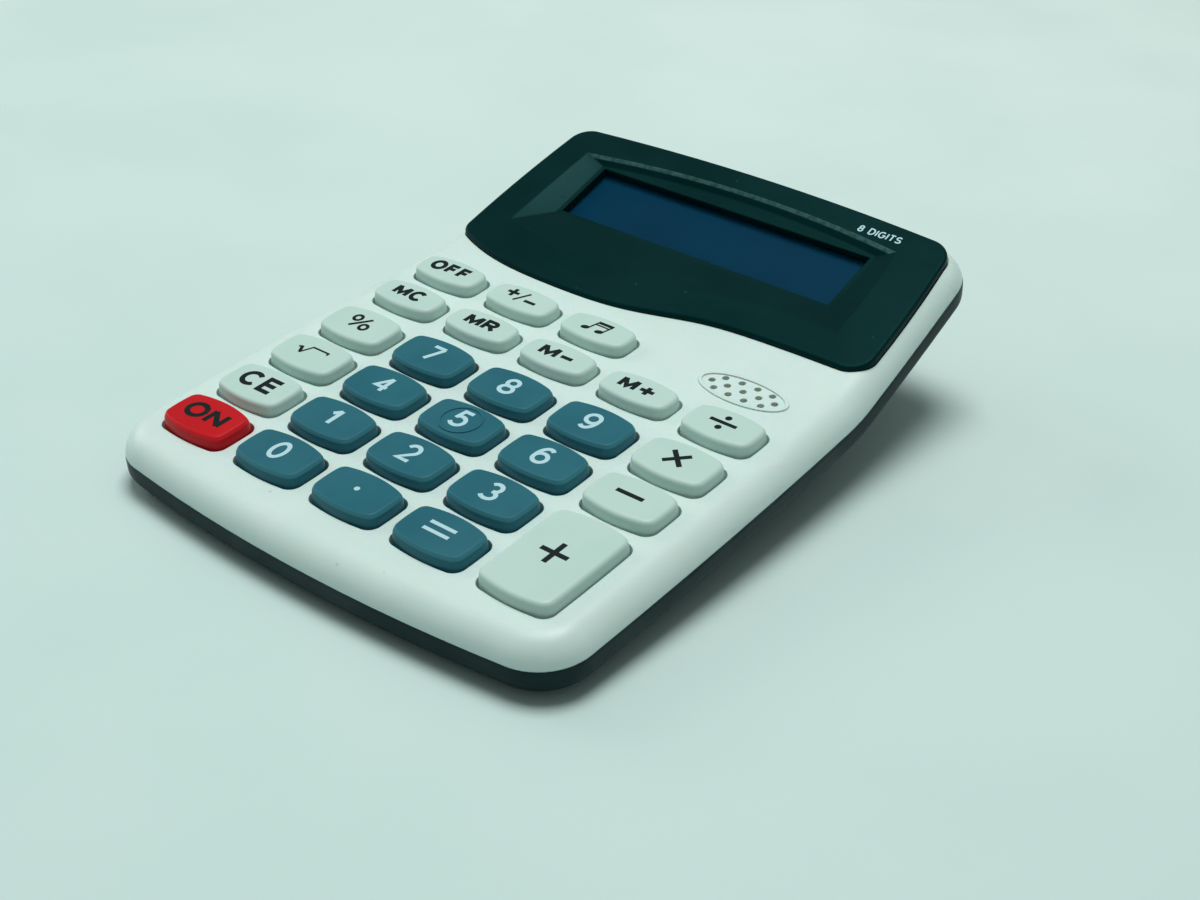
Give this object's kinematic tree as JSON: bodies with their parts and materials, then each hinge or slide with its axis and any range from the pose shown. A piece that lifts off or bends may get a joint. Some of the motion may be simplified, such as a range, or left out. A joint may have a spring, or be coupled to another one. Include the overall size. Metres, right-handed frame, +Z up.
{
  "type": "desk calculator",
  "caption": "Desk calculator with a raised dark display panel, moulded barrel-shaped keys, a speaker grille and a sliding battery cover underneath.",
  "frame": {"origin": "centre of the bounding box at table level, on the plane that the rubber feet stand on", "axes": "+Z up, +Y from the user's side towards the display, +X to the user's right"},
  "size_m": [0.0982, 0.1262, 0.0312],
  "materials": {
    "shell_white": "fine satin moulding",
    "shell_dark": "fine satin moulding",
    "bezel_black": "semi-gloss moulding",
    "key_pale": "satin keycap, black legend",
    "key_blue": "satin keycap, pale legend",
    "key_red": "satin keycap, black legend",
    "lens_clear": "clear polished plastic",
    "display_glass": "dark polarised display",
    "foil_silver": "silvered foil",
    "ribbon_film": "printed film",
    "mat_rubber": "moulded silicone",
    "pill_carbon": "carbon-filled rubber",
    "board_green": "lacquered board",
    "chip_resin": "poured resin",
    "chip_ceramic": "fired ceramic with tinned ends",
    "screw_steel": "zinc plated",
    "sounder_brass": "rolled sheet",
    "sounder_ceramic": "silvered ceramic",
    "contact_plated": "nickel plated spring steel",
    "battery_wrap": "printed wrap without any mark",
    "lead_red": "insulated lead",
    "lead_black": "insulated lead",
    "foot_rubber": "moulded rubber"
  },
  "bodies": {
    "case": {"top_shell": "shell_white", "bottom_shell": "shell_dark", "display_bezel": "bezel_black", "display_lens": "lens_clear", "lcd_panel": "display_glass", "lcd_reflector": "foil_silver", "lcd_ribbon": "ribbon_film", "key_mat": "mat_rubber", "contact_pills": "pill_carbon", "main_board": "board_green", "chip_blob": "chip_resin", "chip_parts": "chip_ceramic", "case_screws": "screw_steel", "board_screws": "screw_steel", "buzzer_disc": "sounder_brass", "buzzer_ceramic": "sounder_ceramic", "buzzer_contacts": "contact_plated", "battery_cell": "battery_wrap", "battery_negative_plate": "contact_plated", "battery_positive_plate": "contact_plated", "battery_spring": "contact_plated", "battery_lead_red": "lead_red", "battery_lead_black": "lead_black", "front_feet": "foot_rubber", "rear_feet": "foot_rubber"},
    "cover": {"battery_cover": "shell_dark"},
    "key_on": {"key_on": "key_red"},
    "key_0": {"key_0": "key_blue"},
    "key_point": {"key_point": "key_blue"},
    "key_equals": {"key_equals": "key_blue"},
    "key_clear_entry": {"key_clear_entry": "key_pale"},
    "key_1": {"key_1": "key_blue"},
    "key_2": {"key_2": "key_blue"},
    "key_3": {"key_3": "key_blue"},
    "key_root": {"key_root": "key_pale"},
    "key_4": {"key_4": "key_blue"},
    "key_5": {"key_5": "key_blue"},
    "key_6": {"key_6": "key_blue"},
    "key_minus": {"key_minus": "key_pale"},
    "key_percent": {"key_percent": "key_pale"},
    "key_7": {"key_7": "key_blue"},
    "key_8": {"key_8": "key_blue"},
    "key_9": {"key_9": "key_blue"},
    "key_times": {"key_times": "key_pale"},
    "key_memory_clear": {"key_memory_clear": "key_pale"},
    "key_memory_recall": {"key_memory_recall": "key_pale"},
    "key_memory_minus": {"key_memory_minus": "key_pale"},
    "key_memory_plus": {"key_memory_plus": "key_pale"},
    "key_divide": {"key_divide": "key_pale"},
    "key_off": {"key_off": "key_pale"},
    "key_sign": {"key_sign": "key_pale"},
    "key_melody": {"key_melody": "key_pale"},
    "key_plus": {"key_plus": "key_pale"}
  },
  "joints": [
    {"name": "key_on_press", "type": "slide", "parent": "case", "child": "key_on", "axis": [0, 0.0872, -0.9962], "range_m": [0, 0.001], "stiffness_N_per_m": 400, "springref_m": -0.0008, "deforming": ["key_mat"]},
    {"name": "key_0_press", "type": "slide", "parent": "case", "child": "key_0", "axis": [0, 0.0872, -0.9962], "range_m": [0, 0.001], "stiffness_N_per_m": 400, "springref_m": -0.0008, "deforming": ["key_mat"]},
    {"name": "key_point_press", "type": "slide", "parent": "case", "child": "key_point", "axis": [0, 0.0872, -0.9962], "range_m": [0, 0.001], "stiffness_N_per_m": 400, "springref_m": -0.0008, "deforming": ["key_mat"]},
    {"name": "key_equals_press", "type": "slide", "parent": "case", "child": "key_equals", "axis": [0, 0.0872, -0.9962], "range_m": [0, 0.001], "stiffness_N_per_m": 400, "springref_m": -0.0008, "deforming": ["key_mat"]},
    {"name": "key_clear_entry_press", "type": "slide", "parent": "case", "child": "key_clear_entry", "axis": [0, 0.0872, -0.9962], "range_m": [0, 0.001], "stiffness_N_per_m": 400, "springref_m": -0.0008, "deforming": ["key_mat"]},
    {"name": "key_1_press", "type": "slide", "parent": "case", "child": "key_1", "axis": [0, 0.0872, -0.9962], "range_m": [0, 0.001], "stiffness_N_per_m": 400, "springref_m": -0.0008, "deforming": ["key_mat"]},
    {"name": "key_2_press", "type": "slide", "parent": "case", "child": "key_2", "axis": [0, 0.0872, -0.9962], "range_m": [0, 0.001], "stiffness_N_per_m": 400, "springref_m": -0.0008, "deforming": ["key_mat"]},
    {"name": "key_3_press", "type": "slide", "parent": "case", "child": "key_3", "axis": [0, 0.0872, -0.9962], "range_m": [0, 0.001], "stiffness_N_per_m": 400, "springref_m": -0.0008, "deforming": ["key_mat"]},
    {"name": "key_root_press", "type": "slide", "parent": "case", "child": "key_root", "axis": [0, 0.0872, -0.9962], "range_m": [0, 0.001], "stiffness_N_per_m": 400, "springref_m": -0.0008, "deforming": ["key_mat"]},
    {"name": "key_4_press", "type": "slide", "parent": "case", "child": "key_4", "axis": [0, 0.0872, -0.9962], "range_m": [0, 0.001], "stiffness_N_per_m": 400, "springref_m": -0.0008, "deforming": ["key_mat"]},
    {"name": "key_5_press", "type": "slide", "parent": "case", "child": "key_5", "axis": [0, 0.0872, -0.9962], "range_m": [0, 0.001], "stiffness_N_per_m": 400, "springref_m": -0.0008, "deforming": ["key_mat"]},
    {"name": "key_6_press", "type": "slide", "parent": "case", "child": "key_6", "axis": [0, 0.0872, -0.9962], "range_m": [0, 0.001], "stiffness_N_per_m": 400, "springref_m": -0.0008, "deforming": ["key_mat"]},
    {"name": "key_minus_press", "type": "slide", "parent": "case", "child": "key_minus", "axis": [0, 0.0872, -0.9962], "range_m": [0, 0.001], "stiffness_N_per_m": 400, "springref_m": -0.0008, "deforming": ["key_mat"]},
    {"name": "key_percent_press", "type": "slide", "parent": "case", "child": "key_percent", "axis": [0, 0.0872, -0.9962], "range_m": [0, 0.001], "stiffness_N_per_m": 400, "springref_m": -0.0008, "deforming": ["key_mat"]},
    {"name": "key_7_press", "type": "slide", "parent": "case", "child": "key_7", "axis": [0, 0.0872, -0.9962], "range_m": [0, 0.001], "stiffness_N_per_m": 400, "springref_m": -0.0008, "deforming": ["key_mat"]},
    {"name": "key_8_press", "type": "slide", "parent": "case", "child": "key_8", "axis": [0, 0.0872, -0.9962], "range_m": [0, 0.001], "stiffness_N_per_m": 400, "springref_m": -0.0008, "deforming": ["key_mat"]},
    {"name": "key_9_press", "type": "slide", "parent": "case", "child": "key_9", "axis": [0, 0.0872, -0.9962], "range_m": [0, 0.001], "stiffness_N_per_m": 400, "springref_m": -0.0008, "deforming": ["key_mat"]},
    {"name": "key_times_press", "type": "slide", "parent": "case", "child": "key_times", "axis": [0, 0.0872, -0.9962], "range_m": [0, 0.001], "stiffness_N_per_m": 400, "springref_m": -0.0008, "deforming": ["key_mat"]},
    {"name": "key_memory_clear_press", "type": "slide", "parent": "case", "child": "key_memory_clear", "axis": [0, 0.0872, -0.9962], "range_m": [0, 0.001], "stiffness_N_per_m": 400, "springref_m": -0.0008, "deforming": ["key_mat"]},
    {"name": "key_memory_recall_press", "type": "slide", "parent": "case", "child": "key_memory_recall", "axis": [0, 0.0872, -0.9962], "range_m": [0, 0.001], "stiffness_N_per_m": 400, "springref_m": -0.0008, "deforming": ["key_mat"]},
    {"name": "key_memory_minus_press", "type": "slide", "parent": "case", "child": "key_memory_minus", "axis": [0, 0.0872, -0.9962], "range_m": [0, 0.001], "stiffness_N_per_m": 400, "springref_m": -0.0008, "deforming": ["key_mat"]},
    {"name": "key_memory_plus_press", "type": "slide", "parent": "case", "child": "key_memory_plus", "axis": [0, 0.0872, -0.9962], "range_m": [0, 0.001], "stiffness_N_per_m": 400, "springref_m": -0.0008, "deforming": ["key_mat"]},
    {"name": "key_divide_press", "type": "slide", "parent": "case", "child": "key_divide", "axis": [0, 0.0872, -0.9962], "range_m": [0, 0.001], "stiffness_N_per_m": 400, "springref_m": -0.0008, "deforming": ["key_mat"]},
    {"name": "key_off_press", "type": "slide", "parent": "case", "child": "key_off", "axis": [0, 0.0872, -0.9962], "range_m": [0, 0.001], "stiffness_N_per_m": 400, "springref_m": -0.0008, "deforming": ["key_mat"]},
    {"name": "key_sign_press", "type": "slide", "parent": "case", "child": "key_sign", "axis": [0, 0.0872, -0.9962], "range_m": [0, 0.001], "stiffness_N_per_m": 400, "springref_m": -0.0008, "deforming": ["key_mat"]},
    {"name": "key_melody_press", "type": "slide", "parent": "case", "child": "key_melody", "axis": [0, 0.0872, -0.9962], "range_m": [0, 0.001], "stiffness_N_per_m": 400, "springref_m": -0.0008, "deforming": ["key_mat"]},
    {"name": "key_plus_press", "type": "slide", "parent": "case", "child": "key_plus", "axis": [0, 0.0872, -0.9962], "range_m": [0, 0.001], "stiffness_N_per_m": 400, "springref_m": -0.0008, "deforming": ["key_mat"]},
    {"name": "battery_cover_slide", "type": "slide", "parent": "case", "child": "cover", "axis": [0, 1, 0], "range_m": [0, 0.0165]}
  ]
}
